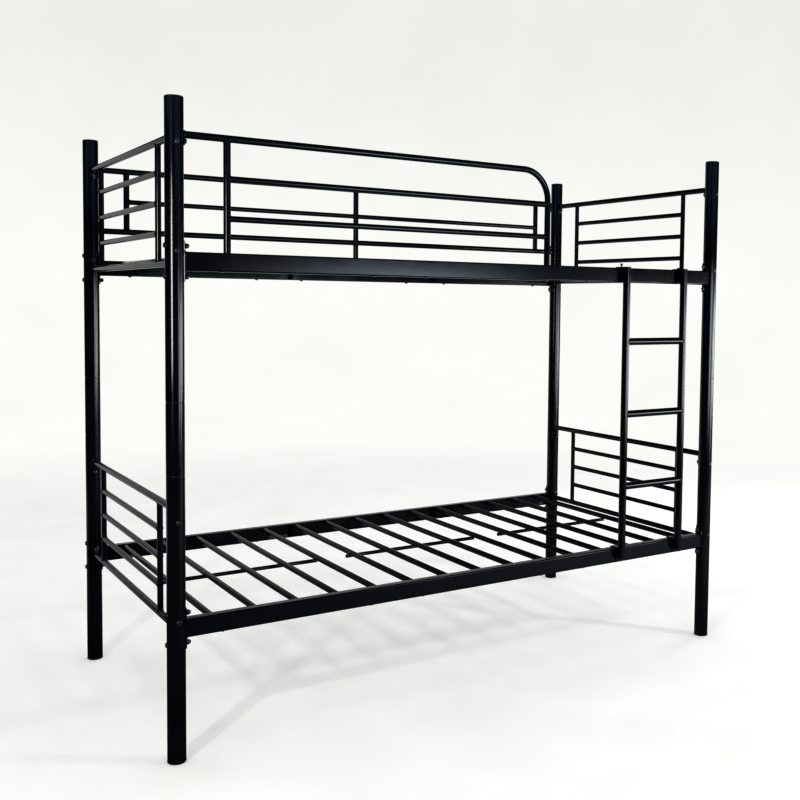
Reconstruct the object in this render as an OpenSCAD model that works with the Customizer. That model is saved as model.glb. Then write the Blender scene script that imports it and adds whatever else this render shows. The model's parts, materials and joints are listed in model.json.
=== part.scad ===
// Bunk bed of bolted steel tube with a hook-on ladder.
// Millimetres, +Z up, +X along the bed, +Y to the wall side.
// The origin is the middle of the whole outline, on the floor.

/* [Bed] */
// Height to the top of the post caps
bed_h = 1745; // [1700:5:1800]
// Distance between post centres along the bed
span_x = 1950; // [1930:10:2050]
// Distance between post centres across the bed
span_y = 920; // [880:10:1000]

/* [Posts] */
// Outer diameter of a post
post_d = 48.3; // [46:0.1:50]
// Wall thickness of a post
post_wall = 1.5; // [1.2:0.1:2]
// Height of the joint above the lower post
lower_joint_z = 765; // [750:5:780]
// Height of the joint below the upper post
upper_joint_z = 958; // [940:2:980]
// Thickness of the plastic cap and of the plastic foot
cap_t = 4; // [3:0.5:6]

/* [Side rails] */
// Middle height of the lower side rails
lower_rail_z = 358; // [340:2:370]
// Middle height of the upper side rails
upper_rail_z = 1324; // [1310:2:1330]
// Height of a side rail
rail_h = 50; // [46:1:52]
// Depth of a side rail
rail_w = 25; // [24:1:30]
// Sheet thickness of a side rail
rail_t = 2; // [1.5:0.1:2.5]
// Height of the curved end plate of a side rail
rail_saddle_h = 106; // [100:2:110]
// Distance between the two bolts of an end plate
rail_bolt_gap = 80; // [76:1:84]

/* [End frames] */
// Height of the bottom bar of a lower end frame
lower_bottom_bar_z = 363; // [358:1:370]
// Height of the top bar of a lower end frame
lower_top_bar_z = 675; // [660:5:690]
// Height of the bottom bar of an upper end frame
upper_bottom_bar_z = 1319; // [1316:1:1324]
// Height of the top bar of an upper end frame
upper_top_bar_z = 1645; // [1635:5:1650]
// Diameter of the top bar and the bottom bar
bar_d = 19; // [18:1:20]
// Diameter of the uprights and the middle bars
slim_d = 16; // [14:1:16]
// Distance from the middle of an end frame to an upright
upright_y = 316; // [300:2:330]
// Middle bars in an end frame
mid_bars = 3; // [2:1:4]

/* [Guard rails] */
// Height of the top guard rail
guard_top_z = 1650; // [1645:5:1655]
// Distance between the bars of the front guard
front_guard_step = 105; // [98:1:108]
// Distance between the bars of the rear guard
rear_guard_step = 101; // [98:1:104]
// Position along the bed of the first upright of the front guard
front_upright_x = -835; // [-860:5:-800]
// Position along the bed of the leg that ends the front guard
hoop_leg_x = 229; // [150:1:300]
// Radius of the bend at the end of the front guard
hoop_r = 95; // [60:5:95]
// Position along the bed of the outer uprights of the rear guard
rear_upright_x = 860; // [820:5:880]

/* [Slats] */
// Distance between slats
slat_pitch = 125; // [123:1:126]
// Diameter of a slat
slat_d = 18; // [16:1:20]
// Diameter of the rod that ties the slats of a panel
tie_d = 12; // [10:1:14]

/* [Ladder] */
// Position along the bed of the left ladder tube
ladder_x = 550; // [530:5:560]
// Distance between the ladder tubes
ladder_w = 267; // [260:1:270]
// Diameter of a ladder tube
ladder_d = 25; // [22:1:26]
// Diameter of a rung
rung_d = 24; // [20:1:26]
// Height of the lower end of the ladder tubes
ladder_foot_z = 350; // [345:1:355]
// Height of the first rung
rung_z = 600; // [590:2:620]
// Distance between rungs
rung_step = 249; // [240:1:252]
// How far the left lock screw stands proud of its hook
proud = 7; // [0:1:14]

/* [Hidden] */
$fn = 64;

// Colours
paint = [0.02, 0.02, 0.025];
plastic = [0.03, 0.03, 0.03];
black_steel = [0.05, 0.05, 0.05];

// Fits
fit = 0.1;
bolt_clear = 0.2;
eps = 1;

// Posts
post_r = post_d / 2;
post_chamfer = 1.2;
joint_gap = 0.8;
spigot_l = 80;
spigot_wall = 1.5;
plug_l = 22;
foot_flare = 0.6;
cap_round = 3;
rail_corner = 4;

// Curved end plates that seat on the posts
saddle_t = 3;
saddle_out_r = post_r + fit + saddle_t;
rail_saddle_a = 36;
bar_saddle_a = 24;
saddle_lip = 11;
near_bolt = 17;
far_bolt = 31;

// Bolts and nuts
bolt_d = 8;
bolt_head_d = 14;
bolt_head_h = 4.2;
bolt_head_chamfer = 2;
bolt_head_seat = 1.5;
socket_af = 5;
socket_depth = 2.4;
guard_bolt_in = 7;
guard_head_h = 5;
nut_af = 13;
nut_h = 6;
nut_dome_d = 11.6;
screw_d = 6;
screw_head_d = 11;
screw_head_h = 3.4;
screw_head_taper = 4;
screw_nut_af = 10;
screw_nut_h = 5;
screw_tip = 2;

// Tube walls
bar_wall = 1;
stub_l = 20;

// Where things stand
rail_reach = rail_w / 2;
rail_top_z = upper_rail_z + rail_h / 2;
hook_w = 26;
hook_t = 3;
hook_gap = 0.5;
hook_lift = 0.4;
tube_stand = rail_reach + hook_gap + hook_t + ladder_d / 2;
ladder_reach = span_y / 2 + tube_stand + hook_w / 2;
rear_reach = span_y / 2 + post_r + bolt_head_h;
bed_y = (ladder_reach - rear_reach) / 2;
front_y = bed_y - span_y / 2;
rear_y = bed_y + span_y / 2;
left_x = -span_x / 2;
right_x = span_x / 2;
post_xy = [[left_x, front_y], [right_x, front_y], [left_x, rear_y], [right_x, rear_y]];

// Bolt heights
frame_bolts_z = [lower_bottom_bar_z + near_bolt, lower_top_bar_z - far_bolt,
                 upper_bottom_bar_z + far_bolt, upper_top_bar_z - near_bolt];
rail_bolts_z = [for (z = [lower_rail_z, upper_rail_z]) for (s = [-1, 1]) z + s * rail_bolt_gap / 2];
guard_low_z = guard_top_z - 2 * rear_guard_step;
guard_bolt_top_z = guard_top_z - near_bolt;
guard_bolt_low_z = guard_low_z + near_bolt;

// Slats: three panels of five
panels = 3;
panel_slats = 5;
panel_pitch = panel_slats * slat_pitch;
panel_half = (panel_slats - 1) / 2 * slat_pitch;
slat_l = span_y - rail_w;
tie_over = 8;
cleat_t = 2;
cleat_over = 15;
cleat_play = 0.4;
cleat_screw_in = 25;

// Ladder
ladder_y = front_y - tube_stand;
ladder_top_z = rail_top_z + hook_lift;
hook_front_drop = 47;
hook_rear_drop = 30;
ladder_plug_face = 2;
ladder_plug_l = 16;
lock_screw_l = 24;
lock_head_d = 13;
lock_head_h = 4;

// Plain tubes, drawn from one end to the other
module rod(d, l) cylinder(d = d, h = l);
module tube(d, wall, l) difference() {
    cylinder(d = d, h = l);
    translate([0, 0, -eps]) cylinder(d = d - 2 * wall, h = l + 2 * eps);
}
module along_x(x0, y, z) translate([x0, y, z]) rotate([0, 90, 0]) children();
module along_y(x, y0, z) translate([x, y0, z]) rotate([-90, 0, 0]) children();
module along_z(x, y, z0) translate([x, y, z0]) children();
// A turned tube with chamfered ends
module post_tube(z0, z1) rotate_extrude() polygon([
    [post_r - post_wall, z0], [post_r - post_chamfer, z0], [post_r, z0 + post_chamfer],
    [post_r, z1 - post_chamfer], [post_r - post_chamfer, z1], [post_r - post_wall, z1]
]);
// Post with its crossed bolt holes at the heights that lie on it
module post(p, z0, z1) color(paint) translate([p[0], p[1], 0]) difference() {
    post_tube(z0, z1);
    for (z = rail_bolts_z)
        if (z > z0 && z < z1) translate([-post_d, 0, z]) rotate([0, 90, 0]) rod(bolt_d + 2 * bolt_clear, 2 * post_d);
    for (z = frame_bolts_z)
        if (z > z0 && z < z1) translate([0, -post_d, z]) rotate([-90, 0, 0]) rod(bolt_d + 2 * bolt_clear, 2 * post_d);
    for (z = guard_heights(p))
        if (z > z0 && z < z1) rotate([0, 0, p[0] < 0 ? 0 : 180]) translate([0, 0, z]) rotate([0, 90, 0])
            rod(bolt_d + 2 * bolt_clear, post_d);
}
// Heights of the guard bolts in a post
function guard_heights(p) =
    p[1] > bed_y ? [guard_bolt_top_z, guard_bolt_low_z] :
    p[0] < 0 ? [guard_bolt_top_z] : [];

module lower_post(i) post(post_xy[i], cap_t, lower_joint_z - joint_gap / 2);
module upper_post(i) post(post_xy[i], upper_joint_z + joint_gap / 2, bed_h - cap_t);
module middle_posts() for (p = post_xy)
    post(p, lower_joint_z + joint_gap / 2, upper_joint_z - joint_gap / 2);

// Sleeves inside the post joints
module post_spigots() color(black_steel) for (p = post_xy) for (z = [lower_joint_z, upper_joint_z])
    along_z(p[0], p[1], z - spigot_l / 2) tube(post_d - 2 * post_wall - 2 * fit, spigot_wall, spigot_l);

// Plug that fills the end of a post, growing up from its face
module post_plug(flare) union() {
    rotate_extrude() {
        square([post_r + flare - cap_round, cap_t]);
        translate([0, cap_round]) square([post_r + flare, cap_t - cap_round]);
        translate([post_r + flare - cap_round, cap_round]) intersection() {
            circle(r = cap_round);
            translate([0, -cap_round]) square(cap_round);
        }
    }
    translate([0, 0, cap_t - eps]) tube(post_d - 2 * post_wall - 2 * fit, 2 * spigot_wall, plug_l + eps);
}
module post_caps() color(plastic) for (p = post_xy)
    translate([p[0], p[1], bed_h]) rotate([180, 0, 0]) post_plug(0);
module post_feet() color(plastic) for (p = post_xy) translate([p[0], p[1], 0]) post_plug(foot_flare);

// Rail section, open towards the mattress: y from the outer face, z from the bottom
module rail_section() difference() {
    union() {
        translate([rail_corner, 0]) square([rail_w - rail_corner, rail_h]);
        translate([0, rail_corner]) square([rail_corner, rail_h - 2 * rail_corner]);
        for (z = [rail_corner, rail_h - rail_corner]) translate([rail_corner, z]) circle(r = rail_corner);
    }
    translate([rail_t, rail_t]) square([rail_w, rail_h - 2 * rail_t]);
}
// Side rail at height z: side is -1 for the front and 1 for the rear
module side_rail(side, z) color(paint) {
    y = side < 0 ? front_y : rear_y;
    difference() {
        translate([left_x, y, z - rail_h / 2]) mirror([0, side > 0 ? 1 : 0, 0]) translate([0, -rail_reach, 0])
            rotate([90, 0, 90]) linear_extrude(span_x) rail_section();
        for (x = [left_x, right_x]) along_z(x, y, z - rail_h) cylinder(r = saddle_out_r + fit, h = 2 * rail_h);
        for (x = cleat_screws_x()) along_z(x, y, z - rail_h) rod(screw_d + 2 * bolt_clear, rail_h);
        if (z == upper_rail_z)
            for (x = side < 0 ? [front_upright_x, hoop_leg_x] : [0])
                along_z(x, y, z) rod(bolt_d + 2 * bolt_clear, rail_h);
        if (z == upper_rail_z && side < 0)
            for (x = ladder_tubes_x()) along_z(x, y, z) rod(screw_d + 4 * bolt_clear, rail_h);
    }
}

// Curved plate around +X of a post, with bolt holes
module saddle(half_angle, z0, z1, holes) difference() {
    rotate([0, 0, -half_angle]) rotate_extrude(angle = 2 * half_angle)
        translate([post_r + fit, z0]) square([saddle_t, z1 - z0]);
    for (z = holes) translate([0, 0, z]) rotate([0, 90, 0]) rod(bolt_d + 2 * bolt_clear, post_d);
}
function inward_x(p) = p[0] < 0 ? 0 : 180;
function inward_y(p) = p[1] < bed_y ? 90 : -90;
module rail_saddles() color(paint) for (p = post_xy) translate([p[0], p[1], 0]) rotate([0, 0, inward_x(p)])
    for (z = [lower_rail_z, upper_rail_z])
        saddle(rail_saddle_a, z - rail_saddle_h / 2, z + rail_saddle_h / 2,
               [z - rail_bolt_gap / 2, z + rail_bolt_gap / 2]);
// Saddle of a bar at bar_z whose bolt is at bolt_z
module bar_saddle(bar_z, bolt_z) {
    bar_end = bar_z + sign(bar_z - bolt_z) * bar_d / 2;
    bolt_end = bolt_z - sign(bar_z - bolt_z) * saddle_lip;
    saddle(bar_saddle_a, min(bar_end, bolt_end), max(bar_end, bolt_end), [bolt_z]);
}
module end_frame_saddles() color(paint) {
    bars_z = [lower_bottom_bar_z, lower_top_bar_z, upper_bottom_bar_z, upper_top_bar_z];
    for (p = post_xy) translate([p[0], p[1], 0]) rotate([0, 0, inward_y(p)])
        for (i = [0:3]) bar_saddle(bars_z[i], frame_bolts_z[i]);
}
module guard_saddles() color(paint) for (p = post_xy) translate([p[0], p[1], 0]) rotate([0, 0, inward_x(p)]) {
    if (len(guard_heights(p)) > 0) bar_saddle(guard_top_z, guard_bolt_top_z);
    if (len(guard_heights(p)) > 1) bar_saddle(guard_low_z, guard_bolt_low_z);
}

// End frames
module end_bar(x, z) color(paint) difference() {
    along_y(x, front_y, z) tube(bar_d, bar_wall, span_y);
    for (y = [front_y, rear_y]) along_z(x, y, z - bar_d) cylinder(r = saddle_out_r + fit, h = 2 * bar_d);
}
module end_uprights(x, z0, z1) color(paint) for (s = [-1, 1]) difference() {
    along_z(x, bed_y + s * upright_y, z0) tube(slim_d, bar_wall, z1 - z0);
    for (z = [z0, z1]) along_y(x, front_y, z) rod(bar_d + 2 * fit, span_y);
}
module end_mid_bars(x, z0, z1) color(paint) for (i = [1:mid_bars]) difference() {
    along_y(x, bed_y - upright_y, z0 + i * (z1 - z0) / (mid_bars + 1)) tube(slim_d, bar_wall, 2 * upright_y);
    for (s = [-1, 1]) along_z(x, bed_y + s * upright_y, z0) rod(slim_d + 2 * fit, z1 - z0);
}

// Bolt through a post along +X, head first, and its cap nut
module bolt_head() difference() {
    translate([-post_r - bolt_head_h, 0, 0]) rotate([0, 90, 0]) rotate_extrude() polygon([
        [0, 0], [bolt_head_d / 2 - bolt_head_chamfer, 0], [bolt_head_d / 2, bolt_head_chamfer],
        [bolt_head_d / 2, bolt_head_h + bolt_head_seat], [0, bolt_head_h + bolt_head_seat]
    ]);
    translate([0, 0, -bolt_head_d]) cylinder(r = post_r + fit / 2, h = 2 * bolt_head_d);
}
module through_bolt() union() {
    difference() {
        bolt_head();
        translate([-post_r - bolt_head_h - eps, 0, 0]) rotate([0, 90, 0])
            cylinder(d = socket_af / cos(30), h = eps + socket_depth, $fn = 6);
    }
    translate([-post_r - bolt_head_seat, 0, 0]) rotate([0, 90, 0])
        rod(bolt_d, post_r + bolt_head_seat + saddle_out_r + nut_h);
}
module cap_nut() difference() {
    union() {
        translate([saddle_out_r - bolt_head_seat, 0, 0]) rotate([30, 0, 0]) rotate([0, 90, 0])
            cylinder(d = nut_af / cos(30), h = nut_h + bolt_head_seat, $fn = 6);
        translate([saddle_out_r + nut_h - eps, 0, 0]) rotate([0, 90, 0]) rotate_extrude() intersection() {
            translate([0, eps]) circle(d = nut_dome_d);
            square([nut_dome_d, nut_dome_d]);
        }
    }
    translate([0, 0, -nut_af]) cylinder(r = saddle_out_r + fit / 2, h = 2 * nut_af);
    rotate([0, 90, 0]) rod(bolt_d + 2 * fit, saddle_out_r + nut_h + 2 * fit);
}
module at_post_bolts() for (p = post_xy) translate([p[0], p[1], 0]) {
    rotate([0, 0, inward_x(p)]) for (z = rail_bolts_z) translate([0, 0, z]) children();
    rotate([0, 0, inward_y(p)]) for (z = frame_bolts_z) translate([0, 0, z]) children();
}
module post_bolts() color(black_steel) at_post_bolts() through_bolt();
module post_nuts() color(black_steel) at_post_bolts() cap_nut();
// Short bolt, head on the guard's saddle, that screws into the wall of the post
module guard_bolts() color(black_steel) for (p = post_xy) translate([p[0], p[1], 0]) rotate([0, 0, inward_x(p)])
    for (z = guard_heights(p)) translate([0, 0, z]) rotate([0, 90, 0]) difference() {
        union() {
            translate([0, 0, post_r - guard_bolt_in]) rod(bolt_d, saddle_out_r - post_r + guard_bolt_in);
            translate([0, 0, saddle_out_r - bolt_head_seat])
                cylinder(d = bolt_head_d, h = bolt_head_seat + guard_head_h - bolt_head_chamfer);
            translate([0, 0, saddle_out_r + guard_head_h - bolt_head_chamfer])
                cylinder(d1 = bolt_head_d, d2 = bolt_head_d - 2 * bolt_head_chamfer, h = bolt_head_chamfer);
        }
        rotate([0, 90, 0]) translate([0, 0, -bolt_head_d]) difference() {
            cylinder(r = saddle_out_r + fit / 2, h = 2 * bolt_head_d);
            translate([0, 0, bolt_head_d]) rotate([0, -90, 0]) rod(bolt_d, post_d);
        }
        translate([0, 0, saddle_out_r + guard_head_h - socket_depth])
            cylinder(d = socket_af / cos(30), h = socket_depth + eps, $fn = 6);
    }

// Guard rails
module upright(x, y, z0, z1) difference() {
    along_z(x, y, z0) tube(bar_d, bar_wall, z1 - z0);
    along_x(x - bar_d, y, z1) rod(bar_d + 2 * fit, 2 * bar_d);
}
// Threaded stub welded into the foot of an upright
module stub(x, y, z0) along_z(x, y, z0) difference() {
    rod(bar_d - bar_wall, stub_l);
    translate([0, 0, -eps]) rod(bolt_d + 2 * fit, stub_l + 2 * eps);
}
module front_guard_hoop() color(paint) {
    bend_z = guard_top_z - hoop_r;
    union() {
        difference() {
            along_x(left_x, front_y, guard_top_z) tube(bar_d, bar_wall, hoop_leg_x - hoop_r - left_x);
            along_z(left_x, front_y, guard_top_z - bar_d) cylinder(r = saddle_out_r + fit, h = 2 * bar_d);
        }
        translate([hoop_leg_x - hoop_r, front_y, bend_z]) rotate([90, 0, 0]) rotate_extrude(angle = 90)
            translate([hoop_r, 0]) difference() {
                circle(d = bar_d);
                circle(d = bar_d - 2 * bar_wall);
            }
        along_z(hoop_leg_x, front_y, rail_top_z) tube(bar_d, bar_wall, bend_z - rail_top_z);
        stub(hoop_leg_x, front_y, rail_top_z);
    }
}
module front_guard_upright() color(paint) union() {
    upright(front_upright_x, front_y, rail_top_z, guard_top_z);
    stub(front_upright_x, front_y, rail_top_z);
}
// Bar between two uprights
module between(x0, x1, y, z) difference() {
    along_x(x0, y, z) tube(slim_d, bar_wall, x1 - x0);
    for (x = [x0, x1]) along_z(x, y, z - bar_d) rod(bar_d + 2 * fit, 2 * bar_d);
}
module front_guard_mid_bars() color(paint) for (i = [1, 2])
    between(front_upright_x, hoop_leg_x, front_y, guard_top_z - i * front_guard_step);
module rear_guard_rail(z) color(paint) difference() {
    along_x(left_x, rear_y, z) tube(bar_d, bar_wall, span_x);
    for (x = [left_x, right_x]) along_z(x, rear_y, z - bar_d) cylinder(r = saddle_out_r + fit, h = 2 * bar_d);
}
module rear_guard_uprights() color(paint) {
    for (x = [-rear_upright_x, 0, rear_upright_x]) difference() {
        upright(x, rear_y, guard_low_z, guard_top_z);
        along_x(x - bar_d, rear_y, guard_low_z) rod(bar_d + 2 * fit, 2 * bar_d);
    }
    union() {
        upright(0, rear_y, rail_top_z, guard_low_z);
        stub(0, rear_y, rail_top_z);
    }
}
module rear_guard_mid_bars() color(paint) for (s = [-1, 0])
    between(s * rear_upright_x, (s + 1) * rear_upright_x, rear_y, guard_top_z - rear_guard_step);
// Bolts under the rail's top flange that hold the guards' feet
module guard_foot_bolts() color(black_steel)
    for (p = [[front_upright_x, front_y], [hoop_leg_x, front_y], [0, rear_y]])
        along_z(p[0], p[1], rail_top_z - rail_t) {
            translate([0, 0, -nut_h]) cylinder(d = nut_af / cos(30), h = nut_h, $fn = 6);
            translate([0, 0, -eps]) rod(bolt_d, rail_t + stub_l);
        }

// Slats
function panel_x(i) = (i - (panels - 1) / 2) * panel_pitch;
function slat_x(i) = (i - (panels * panel_slats - 1) / 2) * slat_pitch;
function slat_z(rail_z) = rail_z + rail_h / 2 - rail_t - slat_d / 2;
function cleat_screws_x() = [for (i = [0:panels - 1]) for (s = [-1, 1])
    panel_x(i) + s * (panel_half - cleat_screw_in)];
function ladder_tubes_x() = [ladder_x, ladder_x + ladder_w];
module slats(rail_z) color(paint) for (i = [0:panels * panel_slats - 1])
    along_y(slat_x(i), front_y + rail_reach, slat_z(rail_z)) tube(slat_d, bar_wall, slat_l);
module slat_tie_rods() color(paint) for (rail_z = [lower_rail_z, upper_rail_z]) for (i = [0:panels - 1])
    along_x(panel_x(i) - panel_half - tie_over, bed_y, slat_z(rail_z) - (slat_d + tie_d) / 2)
        tube(tie_d, bar_wall, 2 * (panel_half + tie_over));
// Angle that carries the slat ends inside a rail, drawn for a front rail
module cleat() {
    half = panel_half + cleat_over;
    leg_h = rail_h - 2 * rail_t - cleat_play;
    back = rail_w - rail_t - cleat_play;
    difference() {
        union() {
            translate([-half, rail_reach - cleat_t, 0]) cube([2 * half, cleat_t, leg_h]);
            translate([-half, rail_reach - back, 0]) cube([2 * half, back, cleat_t]);
            for (s = [-1, 1]) translate([s * (half - cleat_over - cleat_screw_in), 0, 0])
                cylinder(d = screw_nut_af / cos(30), h = cleat_t + screw_nut_h, $fn = 6);
        }
        for (s = [-1, 1]) translate([s * (half - cleat_over - cleat_screw_in), 0, -eps])
            rod(screw_d + 2 * fit, cleat_t + screw_nut_h + 2 * eps);
    }
}
module slat_cleats() color(paint) for (rail_z = [lower_rail_z, upper_rail_z]) for (i = [0:panels - 1]) {
    z = rail_z - rail_h / 2 + rail_t;
    translate([panel_x(i), front_y, z]) cleat();
    translate([panel_x(i), rear_y, z]) rotate([0, 0, 180]) cleat();
}
// Screws from below that hold the cleats
module slat_screws() color(black_steel)
    for (rail_z = [lower_rail_z, upper_rail_z]) for (y = [front_y, rear_y]) for (x = cleat_screws_x())
        along_z(x, y, rail_z - rail_h / 2) {
            translate([0, 0, -screw_head_h])
                cylinder(d1 = screw_head_d - screw_head_taper, d2 = screw_head_d, h = screw_head_h / 2);
            translate([0, 0, -screw_head_h / 2]) cylinder(d = screw_head_d, h = screw_head_h / 2);
            translate([0, 0, -eps]) rod(screw_d, eps + rail_t + cleat_t + screw_nut_h + screw_tip);
        }

// Ladder
module ladder_tube(x) color(paint)
    along_z(x, ladder_y, ladder_foot_z) tube(ladder_d, bar_wall, ladder_top_z - ladder_foot_z);
module ladder_rungs() color(paint) for (i = [0:2]) difference() {
    along_x(ladder_x, ladder_y, rung_z + i * rung_step) tube(rung_d, bar_wall, ladder_w);
    for (x = ladder_tubes_x()) along_z(x, ladder_y, rung_z + i * rung_step - rung_d)
        rod(ladder_d + 2 * fit, 2 * rung_d);
}
// Strip bent over a rail, its top at height z
module hook(z) {
    y_rear = rail_reach + hook_gap;
    difference() {
        union() {
            translate([-hook_w / 2, -y_rear - hook_t, z]) cube([hook_w, 2 * (y_rear + hook_t), hook_t]);
            translate([-hook_w / 2, y_rear, z - hook_rear_drop]) cube([hook_w, hook_t, hook_rear_drop + hook_t]);
            translate([-hook_w / 2, -y_rear - hook_t, z - hook_front_drop])
                cube([hook_w, hook_t, hook_front_drop + hook_t]);
            children();
        }
        translate([0, 0, z - eps]) rod(screw_d + 2 * bolt_clear, hook_t + 2 * eps);
    }
}
// A top hook runs on over the tube in a round nose
module ladder_top_hooks() color(paint) for (x = ladder_tubes_x()) translate([x, front_y, 0]) hook(ladder_top_z) {
    translate([0, -tube_stand, ladder_top_z]) rod(hook_w, hook_t);
    translate([-hook_w / 2, -tube_stand, ladder_top_z]) cube([hook_w, tube_stand, hook_t]);
}
module ladder_bottom_hooks() color(paint) for (x = ladder_tubes_x())
    translate([x, front_y, 0]) hook(lower_rail_z + rail_h / 2 + hook_lift);
module ladder_plugs() color(plastic) for (x = ladder_tubes_x()) along_z(x, ladder_y, ladder_foot_z) {
    translate([0, 0, -ladder_plug_face]) rod(ladder_d, ladder_plug_face);
    translate([0, 0, -eps]) rod(ladder_d - 2 * bar_wall - 2 * fit, ladder_plug_l);
}
// Flared-head screws that lock the top hooks to the rail, one standing proud
module ladder_lock_screws() color(black_steel) for (i = [0, 1])
    along_z(ladder_tubes_x()[i], front_y, ladder_top_z + hook_t + fit + (1 - i) * proud) {
        cylinder(d1 = screw_d, d2 = lock_head_d, h = lock_head_h);
        translate([0, 0, eps - lock_screw_l]) rod(screw_d, lock_screw_l);
    }
module ladder_lock_nuts() color(black_steel) for (x = ladder_tubes_x())
    along_z(x, front_y, rail_top_z - rail_t - screw_nut_h) difference() {
        cylinder(d = screw_nut_af / cos(30), h = screw_nut_h, $fn = 6);
        translate([0, 0, -eps]) rod(screw_d + 4 * bolt_clear, screw_nut_h + 2 * eps);
    }

lower_post(0);  // lower_post_front_left
lower_post(1);  // lower_post_front_right
lower_post(2);  // lower_post_rear_left
lower_post(3);  // lower_post_rear_right
middle_posts();
upper_post(0);  // upper_post_front_left
upper_post(1);  // upper_post_front_right
upper_post(2);  // upper_post_rear_left
upper_post(3);  // upper_post_rear_right
post_spigots();
post_caps();
post_feet();
side_rail(-1, lower_rail_z);  // lower_front_rail
side_rail(1, lower_rail_z);  // lower_rear_rail
side_rail(-1, upper_rail_z);  // upper_front_rail
side_rail(1, upper_rail_z);  // upper_rear_rail
rail_saddles();
end_bar(left_x, lower_top_bar_z);  // lower_left_top_bar
end_bar(left_x, lower_bottom_bar_z);  // lower_left_bottom_bar
end_uprights(left_x, lower_bottom_bar_z, lower_top_bar_z);  // lower_left_uprights
end_mid_bars(left_x, lower_bottom_bar_z, lower_top_bar_z);  // lower_left_mid_bars
end_bar(right_x, lower_top_bar_z);  // lower_right_top_bar
end_bar(right_x, lower_bottom_bar_z);  // lower_right_bottom_bar
end_uprights(right_x, lower_bottom_bar_z, lower_top_bar_z);  // lower_right_uprights
end_mid_bars(right_x, lower_bottom_bar_z, lower_top_bar_z);  // lower_right_mid_bars
end_bar(left_x, upper_top_bar_z);  // upper_left_top_bar
end_bar(left_x, upper_bottom_bar_z);  // upper_left_bottom_bar
end_uprights(left_x, upper_bottom_bar_z, upper_top_bar_z);  // upper_left_uprights
end_mid_bars(left_x, upper_bottom_bar_z, upper_top_bar_z);  // upper_left_mid_bars
end_bar(right_x, upper_top_bar_z);  // upper_right_top_bar
end_bar(right_x, upper_bottom_bar_z);  // upper_right_bottom_bar
end_uprights(right_x, upper_bottom_bar_z, upper_top_bar_z);  // upper_right_uprights
end_mid_bars(right_x, upper_bottom_bar_z, upper_top_bar_z);  // upper_right_mid_bars
end_frame_saddles();
post_bolts();
post_nuts();
front_guard_hoop();
front_guard_upright();
front_guard_mid_bars();
rear_guard_rail(guard_top_z);  // rear_guard_top_rail
rear_guard_rail(guard_low_z);  // rear_guard_bottom_rail
rear_guard_uprights();
rear_guard_mid_bars();
guard_saddles();
guard_bolts();
guard_foot_bolts();
slats(lower_rail_z);  // lower_slats
slats(upper_rail_z);  // upper_slats
slat_tie_rods();
slat_cleats();
slat_screws();
ladder_tube(ladder_x);  // ladder_left_tube
ladder_tube(ladder_x + ladder_w);  // ladder_right_tube
ladder_rungs();
ladder_top_hooks();
ladder_bottom_hooks();
ladder_plugs();
ladder_lock_screws();
ladder_lock_nuts();
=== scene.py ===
"""Bunk bed of black steel tube with a hook-on ladder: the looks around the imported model.

Lengths are in metres, in the frame of the CAD model: X along the bed, Y from front to rear, Z up.
"""

import json
import math

import bmesh
import bpy
from mathutils import Matrix, Vector


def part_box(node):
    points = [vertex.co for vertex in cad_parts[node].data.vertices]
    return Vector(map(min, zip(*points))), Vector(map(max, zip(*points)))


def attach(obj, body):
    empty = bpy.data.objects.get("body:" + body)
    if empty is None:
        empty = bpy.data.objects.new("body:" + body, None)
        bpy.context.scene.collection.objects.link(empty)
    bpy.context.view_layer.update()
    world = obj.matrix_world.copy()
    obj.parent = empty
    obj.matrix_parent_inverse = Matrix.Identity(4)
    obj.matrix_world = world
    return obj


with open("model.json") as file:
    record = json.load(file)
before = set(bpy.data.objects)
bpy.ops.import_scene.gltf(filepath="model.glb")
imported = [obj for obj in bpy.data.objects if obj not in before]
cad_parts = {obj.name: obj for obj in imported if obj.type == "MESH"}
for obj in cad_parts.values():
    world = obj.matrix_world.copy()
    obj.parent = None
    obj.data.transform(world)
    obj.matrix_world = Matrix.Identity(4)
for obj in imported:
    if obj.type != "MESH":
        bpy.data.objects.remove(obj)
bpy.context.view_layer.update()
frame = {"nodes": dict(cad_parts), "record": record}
nodes = frame["nodes"]
scene = bpy.context.scene
MM = 0.001
X, Y, Z = Vector((1, 0, 0)), Vector((0, 1, 0)), Vector((0, 0, 1))


# ---------------------------------------------------------------- places, all read from the frame
CELLS_PER_METRE = 1e5  # vertices of one solid share a cell of this grid where its faces meet


def solids(node):
    """The box of each separate solid of a CAD node, as (lowest corner, highest corner)."""
    mesh = nodes[node].data
    keys = [tuple(round(c * CELLS_PER_METRE) for c in v.co) for v in mesh.vertices]
    parent = {k: k for k in keys}

    def root(k):
        while parent[k] != k:
            parent[k] = parent[parent[k]]
            k = parent[k]
        return k

    for face in mesh.polygons:
        first = root(keys[face.vertices[0]])
        for i in face.vertices[1:]:
            parent[root(keys[i])] = first
    groups = {}
    for k, v in zip(keys, mesh.vertices):
        groups.setdefault(root(k), []).append(v.co)
    boxes = [(Vector(map(min, zip(*g))), Vector(map(max, zip(*g)))) for g in groups.values()]
    return sorted(boxes, key=lambda b: tuple(round(c, 3) for c in b[0]))


def middle(node):
    low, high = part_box(node)
    return (low + high) / 2


left_x = middle("upper_post_front_left").x
right_x = middle("upper_post_front_right").x
front_y = middle("upper_post_front_left").y
rear_y = middle("upper_post_rear_left").y


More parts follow.
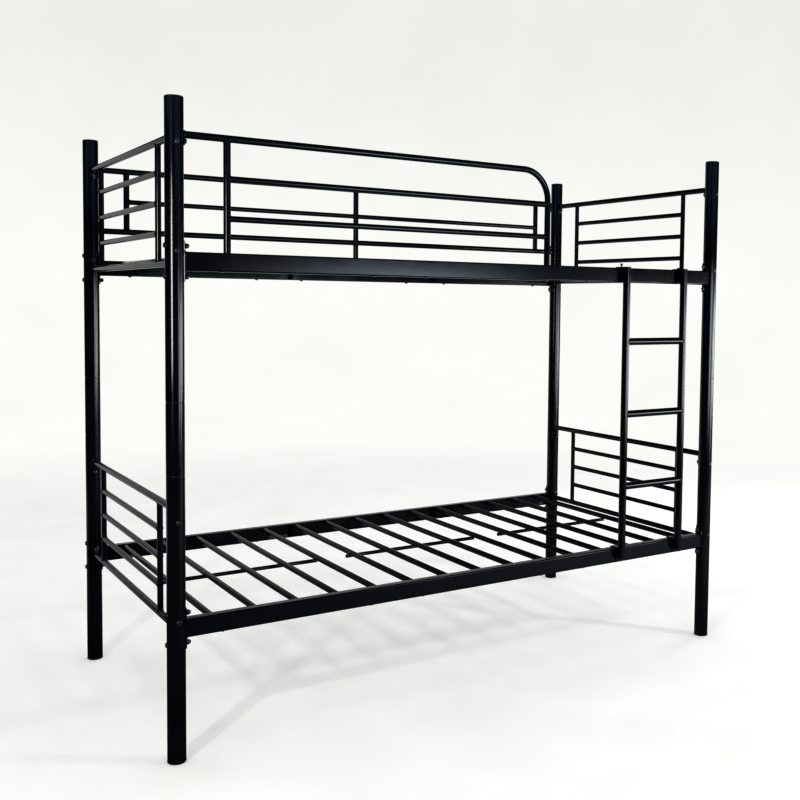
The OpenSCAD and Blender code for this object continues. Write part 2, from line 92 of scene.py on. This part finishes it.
# ---------------------------------------------------------------- shader helpers
class Nodes:
    """Short names for building one node tree."""

    def __init__(self, tree):
        self.tree = tree
        tree.nodes.clear()

    def add(self, kind, **settings):
        node = self.tree.nodes.new(kind)
        for key, value in settings.items():
            setattr(node, key, value)
        return node

    def link(self, a, b):
        self.tree.links.new(a, b)

    def place(self):
        """Where the shaded point is in its object, in metres."""
        return self.add("ShaderNodeTexCoord").outputs["Object"]

    def split(self, vector):
        """The X, Y and Z of a vector, as sockets by name."""
        node = self.add("ShaderNodeSeparateXYZ")
        self.link(vector, node.inputs[0])
        return node.outputs

    def math(self, operation, a, b=None, clamp=False):
        node = self.add("ShaderNodeMath", operation=operation, use_clamp=clamp)
        for socket, value in zip(node.inputs, (a, b)):
            if isinstance(value, (int, float)):
                socket.default_value = value
            elif value is not None:
                self.link(value, socket)
        return node.outputs[0]

    def ramp(self, value, low, high, from_value=0.0, to_value=1.0):
        """Smooth step from from_value at low to to_value at high."""
        node = self.add("ShaderNodeMapRange", interpolation_type="SMOOTHSTEP")
        self.link(value, node.inputs["Value"])
        node.inputs["From Min"].default_value = low
        node.inputs["From Max"].default_value = high
        node.inputs["To Min"].default_value = from_value
        node.inputs["To Max"].default_value = to_value
        return node.outputs["Result"]

    def noise(self, vector, scale, detail=2.0, roughness=0.5):
        """Noise from 0 to 1; scale is about how many patches there are to a metre."""
        node = self.add("ShaderNodeTexNoise")
        node.inputs["Scale"].default_value = scale
        node.inputs["Detail"].default_value = detail
        node.inputs["Roughness"].default_value = roughness
        self.link(vector, node.inputs["Vector"])
        return node.outputs["Fac"]

    def mix(self, factor, a, b):
        """Colour a where factor is 0, b where it is 1."""
        node = self.add("ShaderNodeMix", data_type="RGBA")
        self.link(factor, node.inputs["Factor"])
        for name, value in (("A", a), ("B", b)):
            socket = next(s for s in node.inputs if s.name == name and s.type == "RGBA")
            if isinstance(value, tuple):
                socket.default_value = (*value, 1)
            else:
                self.link(value, socket)
        return next(s for s in node.outputs if s.type == "RGBA")

    def bump(self, painted_falloff, distance, strength, normal=None):
        node = self.add("ShaderNodeBump")
        node.inputs["Distance"].default_value = distance
        node.inputs["Strength"].default_value = strength
        self.link(painted_falloff, node.inputs["Height"])
        if normal is not None:
            self.link(normal, node.inputs["Normal"])
        return node.outputs["Normal"]

    def glow(self, colour, strength):
        """Emission whose strength is a socket."""
        node = self.add("ShaderNodeEmission")
        node.inputs["Color"].default_value = (*colour, 1)
        self.link(strength, node.inputs["Strength"])
        return node

    def surface(self, shader):
        self.link(shader.outputs[0], self.add("ShaderNodeOutputMaterial").inputs["Surface"])


def material(name):
    made = bpy.data.materials.new(name)
    made.use_nodes = True
    return made, Nodes(made.node_tree)


# ---------------------------------------------------------------- materials of the bed
COAT_IOR = 1.5
SPECK = 2.2  # how much lighter than the light paint its fine specks are


def coated_steel(name, dark, light, dust, gloss, peel):
    """Baked powder coat: orange peel, drift of colour and gloss, dust on top, rubbed patches."""
    made, n = material(name)
    place = n.place()
    normal = n.split(n.add("ShaderNodeNewGeometry").outputs["Normal"])

    drift = n.ramp(n.noise(place, scale=6, detail=3), 0.35, 0.65)
    speckle = n.ramp(n.noise(place, scale=900, detail=2), 0.55, 0.75)
    rubbed = n.ramp(n.noise(place, scale=28, detail=5, roughness=0.62), 0.6, 0.74)
    upward = n.ramp(normal["Z"], 0.55, 0.98)
    patches = n.ramp(n.noise(place, scale=45, detail=5, roughness=0.6), 0.3, 0.75)
    settled = n.math("MULTIPLY", upward, patches)

    colour = n.mix(drift, dark, light)
    colour = n.mix(n.math("MULTIPLY", speckle, 0.25), colour, tuple(SPECK * c for c in light))
    colour = n.mix(n.math("MULTIPLY", settled, 0.55), colour, dust)

    roughness = n.math("ADD", n.math("MULTIPLY", drift, 0.05), gloss)
    roughness = n.math("ADD", roughness, n.math("MULTIPLY", rubbed, 0.05))
    roughness = n.math("ADD", roughness, n.math("MULTIPLY", settled, 0.12), clamp=True)

    waves = n.bump(n.noise(place, scale=60, detail=2), 0.4 * MM, 0.1)
    peeled = n.bump(n.noise(place, scale=700, detail=1, roughness=0.4), 0.06 * MM, peel, waves)

    shader = n.add("ShaderNodeBsdfPrincipled")
    n.link(colour, shader.inputs["Base Color"])
    n.link(roughness, shader.inputs["Roughness"])
    n.link(peeled, shader.inputs["Normal"])
    shader.inputs["IOR"].default_value = COAT_IOR
    n.surface(shader)
    return made


def moulded_plastic(name):
    """Injection-moulded plastic with a fine spark-eroded grain."""
    made, n = material(name)
    place = n.place()
    cloud = n.ramp(n.noise(place, scale=40, detail=3), 0.3, 0.7)
    grain = n.noise(place, scale=1600, detail=2, roughness=0.6)
    shader = n.add("ShaderNodeBsdfPrincipled")
    colour = n.mix(cloud, (0.014, 0.014, 0.017), (0.024, 0.024, 0.028))
    n.link(colour, shader.inputs["Base Color"])
    n.link(n.math("ADD", n.math("MULTIPLY", cloud, 0.1), 0.36), shader.inputs["Roughness"])
    n.link(n.bump(grain, 0.05 * MM, 0.35), shader.inputs["Normal"])
    n.surface(shader)
    return made


def plated_steel(name):
    """Black plated bolts and nuts: a metal with a dark film, worn a little brighter in places."""
    made, n = material(name)
    place = n.place()
    film = n.ramp(n.noise(place, scale=260, detail=4, roughness=0.6), 0.35, 0.7)
    scratch = n.noise(place, scale=2200, detail=3, roughness=0.7)
    shader = n.add("ShaderNodeBsdfPrincipled")
    colour = n.mix(film, (0.09, 0.09, 0.095), (0.28, 0.28, 0.29))
    n.link(colour, shader.inputs["Base Color"])
    n.link(n.math("ADD", n.math("MULTIPLY", film, 0.12), 0.22), shader.inputs["Roughness"])
    n.link(n.bump(scratch, 0.03 * MM, 0.3), shader.inputs["Normal"])
    shader.inputs["Metallic"].default_value = 0.85
    n.surface(shader)
    return made


paint = coated_steel("powder_coat", dark=(0.0028, 0.0034, 0.006), light=(0.0046, 0.0056, 0.0095),
                     dust=(0.024, 0.025, 0.028), gloss=0.11, peel=0.08)
looks = {
    "black_powder_coat": paint,
    "black_plastic": moulded_plastic("moulded_plastic"),
    "black_hardware": plated_steel("plated_steel"),
}
for part in frame["record"]["subparts"]:
    slots = nodes[part["node"]].data.materials
    slots.clear()
    slots.append(looks[part["material_slot"]])


# ---------------------------------------------------------------- edges
PRESSED_EDGE = 0.6 * MM
TURNED_EDGE = 0.4 * MM
EDGE_STEPS = 2
SHARP = math.radians(40)  # a turn between two faces that counts as an edge

PRESSED_PARTS = (
    "lower_front_rail", "lower_rear_rail", "upper_front_rail", "upper_rear_rail", "rail_saddles",
    "end_frame_saddles", "guard_saddles", "slat_cleats", "ladder_top_hooks", "ladder_bottom_hooks",
)
TURNED_PARTS = (
    "post_bolts", "post_nuts", "guard_bolts", "guard_foot_bolts", "slat_screws",
    "ladder_lock_screws", "ladder_lock_nuts", "ladder_plugs",
)


def soften(names, width):
    """Rounds the sharp edges of pressed, cut or turned parts."""
    for name in names:
        part = nodes[name]
        part.modifiers.new("join", "WELD").merge_threshold = 0.01 * MM
        edge = part.modifiers.new("edge", "BEVEL")
        edge.width = width
        edge.segments = EDGE_STEPS
        edge.limit_method = "ANGLE"
        edge.angle_limit = SHARP
        edge.harden_normals = True


soften(PRESSED_PARTS, PRESSED_EDGE)
soften(TURNED_PARTS, TURNED_EDGE)


# ---------------------------------------------------------------- weld beads
BEAD = 1.3 * MM
RAIL_BEAD = 2.2 * MM
ROD_BEAD = 1.1 * MM
BEAD_SIDES = 8
SADDLE_STEPS = 40
SADDLE_LIFT = 0.25 * BEAD  # how far the bead's middle stands off the joint
RING_STEPS = 28
RING_LIFT = 0.2 * BEAD
LINE_STEP = 2 * MM


def sweep(mesh, path, closed, radius=BEAD):
    """Sweeps a rippled bead along path, a list of (point, outward) pairs; open ends taper."""
    rings, count = [], len(path)
    for i, (point, outward) in enumerate(path):
        ahead = path[(i + 1) % count][0] if closed or i + 1 < count else point
        behind = path[i - 1][0] if closed or i else point
        along = (ahead - behind).normalized()
        side = along.cross(outward).normalized()
        up = side.cross(along)
        taper = 1.0 if closed else min(1.0, 0.45 + 0.3 * min(i, count - 1 - i))
        ripple = 1 + 0.1 * math.sin(2.1 * i) + 0.05 * math.sin(5.3 * i + 1)
        size = radius * taper * ripple
        rings.append([
            mesh.verts.new(point + size * (math.cos(a) * side + math.sin(a) * up))
            for a in (2 * math.pi * k / BEAD_SIDES for k in range(BEAD_SIDES))
        ])
    pairs = list(zip(rings, rings[1:])) + ([(rings[-1], rings[0])] if closed else [])
    for first, second in pairs:
        for k in range(BEAD_SIDES):
            j = (k + 1) % BEAD_SIDES
            mesh.faces.new((first[k], first[j], second[j], second[k]))
    if not closed:
        mesh.faces.new(reversed(rings[0]))
        mesh.faces.new(rings[-1])


def saddle_weld(mesh, centre, along, radius, axis, host_radius):
    """Bead where a tube of radius, running along from centre, meets a tube on axis there."""
    across = axis.cross(along)
    path = []
    for i in range(SADDLE_STEPS):
        angle = 2 * math.pi * i / SADDLE_STEPS
        out = math.cos(angle) * axis + math.sin(angle) * across
        reach = math.sqrt(host_radius**2 - (radius * math.sin(angle)) ** 2)
        host_normal = (reach * along + radius * math.sin(angle) * across) / host_radius
        point = centre + radius * out + reach * along
        path.append((point + SADDLE_LIFT * (out + host_normal), out + host_normal))
    sweep(mesh, path, closed=True)


def ring_weld(mesh, centre, along, radius):
    """Bead round a tube that stands on a flat face."""
    across = Z.cross(along)
    path = []
    for i in range(RING_STEPS):
        angle = 2 * math.pi * i / RING_STEPS
        out = math.cos(angle) * Z + math.sin(angle) * across
        path.append((centre + (radius + RING_LIFT) * out + RING_LIFT * along, out + along))
    sweep(mesh, path, closed=True)


def line_weld(mesh, start, end, outward, radius=BEAD):
    steps = max(4, round((end - start).length / LINE_STEP))
    path = [(start.lerp(end, i / steps), outward) for i in range(steps + 1)]
    sweep(mesh, path, closed=False, radius=radius)


def smooth_object(name, mesh, look):
    """Makes a bmesh a smooth-shaded object of one material."""
    data = bpy.data.meshes.new(name)
    mesh.to_mesh(data)
    mesh.free()
    for face in data.polygons:
        face.use_smooth = True
    made = bpy.data.objects.new(name, data)
    scene.collection.objects.link(made)
    data.materials.append(look)
    return made


def weld_piece(name, mesh, body="bed"):
    """Makes the beads in mesh one painted piece that rides on body."""
    bmesh.ops.recalc_face_normals(mesh, faces=mesh.faces)
    made = smooth_object(name, mesh, paint)
    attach(made, body)


def centre_of(box, axis):
    """Middle of a box on one axis, 0 to 2."""
    low, high = box
    return (low[axis] + high[axis]) / 2


def tube_radius(box, axis):
    """Radius of a straight tube that runs along axis, 0 to 2."""
    low, high = box
    return min((high - low)[i] for i in range(3) if i != axis) / 2


def cope_radius(bar, axis_place, axis):
    """Radius of the round face that a bar's end is cut to; the face's axis is at axis_place."""
    low, _ = bar
    r = tube_radius(bar, axis)
    return math.sqrt((low[axis] - axis_place) ** 2 + r * r)


def end_frame_welds(side):
    mesh = bmesh.new()
    x = left_x if "left" in side else right_x
    bars = [solids(f"{side}_{name}_bar")[0] for name in ("bottom", "top")]
    uprights = solids(f"{side}_uprights")
    saddle = cope_radius(bars[0], front_y, 1)
    bar_r, slim_r = tube_radius(bars[0], 1), tube_radius(uprights[0], 2)
    for bar in bars:
        z = centre_of(bar, 2)
        saddle_weld(mesh, Vector((x, front_y, z)), Y, bar_r, Z, saddle)
        saddle_weld(mesh, Vector((x, rear_y, z)), -Y, bar_r, Z, saddle)
    for upright in uprights:
        for bar, along in zip(bars, (Z, -Z)):
            joint = Vector((x, centre_of(upright, 1), centre_of(bar, 2)))
            saddle_weld(mesh, joint, along, slim_r, Y, bar_r)
    for bar in solids(f"{side}_mid_bars"):
        for upright, along in zip(uprights, (Y, -Y)):
            joint = Vector((x, centre_of(upright, 1), centre_of(bar, 2)))
            saddle_weld(mesh, joint, along, slim_r, Z, slim_r)
    weld_piece(f"{side}_welds", mesh)


def guard_welds():
    mesh = bmesh.new()
    hoop_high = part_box("front_guard_hoop")[1]
    upright = solids("front_guard_upright")[0]
    rear = [solids(f"rear_guard_{name}_rail")[0] for name in ("bottom", "top")]
    rail_r = tube_radius(upright, 2)
    saddle = cope_radius(rear[0], left_x, 0)

    top_z = hoop_high.z - rail_r
    upright_x = centre_of(upright, 0)
    leg_x = hoop_high.x - rail_r
    saddle_weld(mesh, Vector((left_x, front_y, top_z)), X, rail_r, Z, saddle)
    saddle_weld(mesh, Vector((upright_x, front_y, top_z)), -Z, rail_r, X, rail_r)
    for bar in solids("front_guard_mid_bars"):
        z, r = centre_of(bar, 2), tube_radius(bar, 0)
        saddle_weld(mesh, Vector((upright_x, front_y, z)), X, r, Z, rail_r)
        saddle_weld(mesh, Vector((leg_x, front_y, z)), -X, r, Z, rail_r)

    bottom_z, rear_top_z = (centre_of(rail, 2) for rail in rear)
    for z in (bottom_z, rear_top_z):
        saddle_weld(mesh, Vector((left_x, rear_y, z)), X, rail_r, Z, saddle)
        saddle_weld(mesh, Vector((right_x, rear_y, z)), -X, rail_r, Z, saddle)
    upright_xs = sorted({round(centre_of(box, 0), 4) for box in solids("rear_guard_uprights")})
    for x in upright_xs:
        saddle_weld(mesh, Vector((x, rear_y, bottom_z)), Z, rail_r, X, rail_r)
        saddle_weld(mesh, Vector((x, rear_y, rear_top_z)), -Z, rail_r, X, rail_r)
    saddle_weld(mesh, Vector((upright_xs[1], rear_y, bottom_z)), -Z, rail_r, X, rail_r)
    for bar in solids("rear_guard_mid_bars"):
        z, r = centre_of(bar, 2), tube_radius(bar, 0)
        for end, along in zip(bar, (X, -X)):
            x = min(upright_xs, key=lambda place: abs(place - end.x))
            saddle_weld(mesh, Vector((x, rear_y, z)), along, r, Z, rail_r)
    weld_piece("guard_welds", mesh)


def slat_welds(level):
    """Beads round both ends of each slat, and on both sides of each rod that crosses under it."""
    half_length, from_middle = 3 * MM, 2.2 * MM
    mesh = bmesh.new()
    slats = solids(f"{level}_slats")
    r = tube_radius(slats[0], 1)
    reach = 4 * r  # a rod lower than this belongs to the other bunk
    for slat in slats:
        low, high = slat
        x, z = centre_of(slat, 0), centre_of(slat, 2)
        ring_weld(mesh, Vector((x, low.y, z)), Y, r)
        ring_weld(mesh, Vector((x, high.y, z)), -Y, r)
        for rod in solids("slat_tie_rods"):
            rod_low, rod_high = rod
            if rod_low.x < x < rod_high.x and 0 < z - rod_low.z < reach:
                touch = Vector((x, centre_of(rod, 1), z - r))
                for s in (-1, 1):
                    bead = touch + Vector((s * from_middle, 0, 0))
                    line_weld(mesh, bead - half_length * Y, bead + half_length * Y, s * X, ROD_BEAD)
    weld_piece(f"{level}_slat_welds", mesh)


def rail_welds():
    """Bead round the outside of every side rail's end, on its curved end plate."""
    flange_steps, web_steps = 8, 20
    mesh = bmesh.new()
    saddle = cope_radius(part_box("lower_left_bottom_bar"), front_y, 1)

    def on_plate(post_x, post_y, along, y, z):
        """Point of the end plate's face, y out from the post's axis."""
        return Vector((post_x + along * math.sqrt(saddle**2 - y * y), post_y + y, z))

    rails = (("lower_front_rail", front_y, -1), ("upper_front_rail", front_y, -1),
             ("lower_rear_rail", rear_y, 1), ("upper_rear_rail", rear_y, 1))
    for node, post_y, outward in rails:
        low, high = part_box(node)
        half = (high.y - low.y) / 2
        for post_x, along in ((left_x, 1), (right_x, -1)):
            path = []
            for i in range(flange_steps + 1):
                y = -outward * half * (1 - i / (flange_steps / 2))
                path.append((on_plate(post_x, post_y, along, y, low.z), -Z + along * X))
            for i in range(1, web_steps):
                z = low.z + (high.z - low.z) * i / web_steps
                side_point = on_plate(post_x, post_y, along, outward * half, z)
                path.append((side_point, outward * Y + along * X))
            for i in range(flange_steps + 1):
                y = outward * half * (1 - i / (flange_steps / 2))
                path.append((on_plate(post_x, post_y, along, y, high.z), Z + along * X))
            sweep(mesh, path, closed=False, radius=RAIL_BEAD)
    weld_piece("rail_welds", mesh)


def ladder_welds():
    """Beads round the ends of the rungs, and two down the front plate of each hook."""
    plate, plate_bottom, plate_top = 48 * MM, 2 * MM, 6 * MM
    from_middle, sunk = 5 * MM, 0.8 * MM
    mesh = bmesh.new()
    tubes = [solids(f"ladder_{side}_tube")[0] for side in ("left", "right")]
    tube_r = tube_radius(tubes[0], 2)
    y = centre_of(tubes[0], 1)
    xs = [centre_of(tube, 0) for tube in tubes]
    for rung in solids("ladder_rungs"):
        low, high = rung
        z, r = centre_of(rung, 2), (high.z - low.z) / 2
        for x, along in zip(xs, (X, -X)):
            saddle_weld(mesh, Vector((x, y, z)), along, r, Z, tube_r)
    for node in ("ladder_top_hooks", "ladder_bottom_hooks"):
        for (_, high), x in zip(solids(node), xs):
            bottom = high.z - plate
            for s in (-1, 1):
                notch = Vector((x + s * from_middle, y + tube_r - sunk, 0))
                line_weld(mesh, notch + (bottom + plate_bottom) * Z,
                          notch + (high.z - plate_top) * Z, s * X - Y)
    weld_piece("ladder_welds", mesh, "ladder")


for side in ("lower_left", "lower_right", "upper_left", "upper_right"):
    end_frame_welds(side)
guard_welds()
for level in ("lower", "upper"):
    slat_welds(level)
rail_welds()
ladder_welds()


# ---------------------------------------------------------------- floor and wall
def white_paper():
    """Scuffed matt floor with a little light of its own, which turns into a glowing wall painted a
    little dimmer towards the top.
    """
    floor_ends, wall_starts = 2.6, 5.5
    look, n = material("cyclorama")
    place = n.place()
    axes = n.split(place)
    from_middle = n.math("SQRT", n.math("ADD", n.math("POWER", axes["X"], 2),
                                        n.math("POWER", axes["Y"], 2)))
    cloud = n.noise(place, scale=1.1, detail=3)

    # painted falloff of light: the wall's glow dims from 1.4 m up to 4.8 m, as if less light
    # reached the top
    painted_falloff = n.ramp(axes["Z"], 1.4, 4.8, 0.98, 0.9)
    level = n.math("ADD", painted_falloff, n.math("MULTIPLY", n.math("SUBTRACT", cloud, 0.5), 0.05))
    wall = n.glow((1, 1, 0.977), level)

    matt = n.add("ShaderNodeBsdfDiffuse")
    scuff = n.ramp(n.noise(place, scale=3.2, detail=7, roughness=0.62), 0.33, 0.66)
    paper = n.mix(cloud, (0.755, 0.76, 0.763), (0.8, 0.8, 0.803))
    n.link(n.mix(scuff, (0.735, 0.735, 0.732), paper), matt.inputs["Color"])
    own_light = n.add("ShaderNodeEmission")
    own_light.inputs["Strength"].default_value = 0.325
    own_light.inputs["Color"].default_value = (0.99, 1, 0.99, 1)
    floor = n.add("ShaderNodeAddShader")
    n.link(matt.outputs[0], floor.inputs[0])
    n.link(own_light.outputs[0], floor.inputs[1])

    blend = n.add("ShaderNodeMixShader")
    n.link(n.ramp(from_middle, floor_ends, wall_starts), blend.inputs[0])
    n.link(floor.outputs[0], blend.inputs[1])
    n.link(wall.outputs[0], blend.inputs[2])
    n.surface(blend)
    return look


def cyclorama():
    """Round floor that curves up into a wall, so that every side of the bed has the same ground."""
    flat, cove, wall_top, around, cove_steps = 7.0, 2.5, 9.0, 96, 12
    profile = [(r, 0.0) for r in (1.5, 3.0, 4.5, 6.0, flat)]
    for i in range(1, cove_steps + 1):
        turn = math.pi / 2 * i / cove_steps
        profile.append((flat + cove * math.sin(turn), cove * (1 - math.cos(turn))))
    profile.append((flat + cove, wall_top))
    mesh = bmesh.new()
    centre = mesh.verts.new((0, 0, 0))
    turns = [2 * math.pi * k / around for k in range(around)]
    rings = [[mesh.verts.new((r * math.cos(a), r * math.sin(a), z)) for a in turns]
             for r, z in profile]
    for k in range(around):
        j = (k + 1) % around
        mesh.faces.new((centre, rings[0][k], rings[0][j]))
        for inner, outer in zip(rings, rings[1:]):
            mesh.faces.new((inner[k], outer[k], outer[j], inner[j]))
    made = smooth_object("cyclorama", mesh, white_paper())
    made.visible_glossy = False  # the paint sees the cards and the sheen below instead


cyclorama()


# ---------------------------------------------------------------- what the glossy paint mirrors
COOL = (0.79, 0.89, 1.0)
PALE = (0.86, 0.93, 1.0)
NAVY = (0.4, 0.6, 1.0)
WHITE = (1, 1, 1)
HARD = (0.01, 0.01, 0.01)


def reflected_panel(name, low, high, look):
    """Flat rectangle in its own XY plane that shows in glossy reflections and nowhere else."""
    mesh = bmesh.new()
    corners = [(low[0], low[1]), (high[0], low[1]), (high[0], high[1]), (low[0], high[1])]
    mesh.faces.new([mesh.verts.new((x, y, 0)) for x, y in corners])
    look.cycles.emission_sampling = "NONE"
    made = smooth_object(name, mesh, look)
    made.visible_camera = False
    made.visible_diffuse = False
    made.visible_shadow = False
    return made


def card(name, place, face_to, size, strength, fade, tint=WHITE, streaks=0.0):
    """Upright card centred on place and turned to face_to, size (width, height).

    fade is how far in its sides, its bottom and its top dim, and tint is its colour. streaks
    breaks it into upright bands, about that many to a metre; 0 leaves it even.
    """
    width, painted_falloff = size
    side_fade, bottom_fade, top_fade = fade
    look, n = material(name)
    axes = n.split(n.place())
    across = n.math("ABSOLUTE", axes["X"])
    sides = n.ramp(across, width / 2 - side_fade, width / 2, 1, 0)
    bottom = n.ramp(axes["Y"], -painted_falloff / 2, -painted_falloff / 2 + bottom_fade)
    top = n.ramp(axes["Y"], painted_falloff / 2 - top_fade, painted_falloff / 2, 1, 0)
    level = n.math("MULTIPLY", n.math("MULTIPLY", sides, bottom), n.math("MULTIPLY", top, strength))
    if streaks:
        column = n.add("ShaderNodeCombineXYZ")
        n.link(axes["X"], column.inputs["X"])
        bands = n.ramp(n.noise(column.outputs[0], scale=streaks, detail=1), 0.4, 0.6, 0.15, 1.0)
        level = n.math("MULTIPLY", level, bands)
    n.surface(n.glow(tint, level))
    made = reflected_panel(name, (-width / 2, -painted_falloff / 2), (width / 2, painted_falloff / 2), look)
    made.location = place
    made.rotation_euler = (Vector(face_to) - Vector(place)).to_track_quat("Z", "Y").to_euler()


def floor_sheen():
    """Painted reflection of the floor for the paint to mirror: dim at the left, a painted shadow
    under the bed, a painted sunlit patch at the front right, bright elsewhere.
    """
    look, n = material("floor_sheen")
    axes = n.split(n.place())
    to_right = n.ramp(axes["X"], -1.2, 1.8, 0.08, 0.75)
    # painted shadow of the bed on the mirrored floor
    painted_bed_shadow = n.ramp(axes["Y"], -1.45, -0.9, 1, 0.35)
    to_rear = n.ramp(axes["Y"], 0.6, 1.8, 0, 0.85)
    # painted pool of window light on the mirrored floor at the front right
    sunlit = n.math("MULTIPLY", n.ramp(axes["X"], 1.7, 2.2, 0, 1.8),
                    n.ramp(axes["Y"], -2.25, -1.95, 1, 0))
    near = n.math("MAXIMUM", n.math("MULTIPLY", to_right, painted_bed_shadow), sunlit)
    n.surface(n.glow(PALE, n.math("MAXIMUM", near, to_rear)))
    made = reflected_panel("floor_sheen", (-3.4, -3.2), (4.6, 4.6), look)
    made.location = (0, 0, 1 * MM)


floor_sheen()

# windows of the room
card("window_left", (-3.02, -2.28, 1.33), (-0.97, -0.45, 1.33),
     size=(0.95, 1.15), strength=22.0, fade=(0.12, 0.2, 0.2))
card("window_front", (1.0, -2.8, 0.92), (0.98, -0.45, 0.92),
     size=(2.45, 1.08), strength=11.0, fade=(1.2, 0.35, 0.16), tint=COOL)
card("window_far", (3.1, -2.75, 0.735), (0.8, -0.45, 0.735),
     size=(1.5, 1.37), strength=13.0, fade=(0.45, 0.55, 0.42))
card("window_right", (4.1, -1.35, 0.9), (0.4, -1.35, 0.9),
     size=(2.3, 1.2), strength=9.5, fade=(0.5, 0.45, 0.4))
# dark flags that keep the left window's bright line to the front left post
card("flag_right", (-1.5, -1.6, 1.33), (0.0, -1.6, 1.33),
     size=(0.86, 1.1), strength=0.0, fade=HARD)
card("flag_rear", (-1.5, -0.3, 1.3), (0.0, -0.3, 1.3),
     size=(0.6, 0.95), strength=0.0, fade=HARD)
# dim blue of the high walls, and the white wall behind
card("high_left", (-3.4, -1.4, 2.35), (-0.9, -0.4, 2.0),
     size=(4.2, 1.5), strength=1.6, fade=(0.4, 0.45, 0.3), tint=NAVY, streaks=1.7)
card("high_front", (1.2, -3.9, 2.35), (0.9, -0.4, 2.0),
     size=(6.4, 1.5), strength=1.5, fade=(0.4, 0.45, 0.3), tint=NAVY, streaks=1.3)
card("wall_behind", (-0.9, 4.6, 1.55), (-0.9, 0.0, 1.55),
     size=(4.0, 3.1), strength=0.85, fade=(0.6, 0.1, 0.5))
card("wall_behind_right", (3.5, 4.6, 1.4), (3.5, 0.0, 1.4),
     size=(6.4, 2.8), strength=0.85, fade=(0.6, 0.1, 0.5))


# ---------------------------------------------------------------- lights and tone
def area_light(name, place, target, size, power, colour=WHITE):
    """Soft light that lights the scene and shows in no reflection."""
    data = bpy.data.lights.new(name, "AREA")
    data.shape = "RECTANGLE"
    data.size, data.size_y = size
    data.energy = power
    data.color = colour
    made = bpy.data.objects.new(name, data)
    scene.collection.objects.link(made)
    made.location = place
    made.rotation_euler = (Vector(target) - Vector(place)).to_track_quat("-Z", "Y").to_euler()
    made.visible_camera = False
    made.visible_glossy = False


area_light("key_left", (-3.0, -2.3, 2.3), (0, 0, 0.4), (0.14, 0.14), 29, (1.0, 0.95, 0.87))
area_light("key_right", (3.4, -3.6, 2.6), (0.4, 0, 0.2), (0.2, 0.2), 46)
area_light("overhead", (0.4, 0.6, 5.6), (0.4, 0.6, 0), (8.0, 7.0), 150)
area_light("floor_right", (3.6, 0.2, 2.4), (2.6, -0.4, 0), (0.8, 0.8), 16)

world = bpy.data.worlds.new("studio")
scene.world = world
world.use_nodes = True
sky = world.node_tree.nodes["Background"]
sky.inputs["Color"].default_value = (0.6, 0.75, 1.0, 1)
sky.inputs["Strength"].default_value = 0.03
scene.view_settings.view_transform = "Standard"
scene.view_settings.gamma = 0.67  # the hard contrast of the photograph


# ---------------------------------------------------------------- camera, at the photograph's angle
EYE = Vector((-1.765, -3.0875, 1.233))
YAW, PITCH, ROLL = 0.5925, -0.0567, 0.0126
FILM_MM, LENS_MM = 36, 45.6
SHIFT_X, SHIFT_Y = -0.1113, -0.0527


def camera():
    data = bpy.data.cameras.new("camera")
    data.sensor_width = FILM_MM
    data.lens = LENS_MM
    data.shift_x = SHIFT_X
    data.shift_y = SHIFT_Y
    made = bpy.data.objects.new("camera", data)
    scene.collection.objects.link(made)
    ahead = Vector((math.sin(YAW) * math.cos(PITCH), math.cos(YAW) * math.cos(PITCH),
                    math.sin(PITCH)))
    level_right = Vector((math.cos(YAW), -math.sin(YAW), 0))
    level_up = level_right.cross(ahead)
    right = math.cos(ROLL) * level_right + math.sin(ROLL) * level_up
    up = right.cross(ahead)
    made.matrix_world = Matrix((
        (right.x, up.x, -ahead.x, EYE.x),
        (right.y, up.y, -ahead.y, EYE.y),
        (right.z, up.z, -ahead.z, EYE.z),
        (0, 0, 0, 1),
    ))
    scene.camera = made


camera()
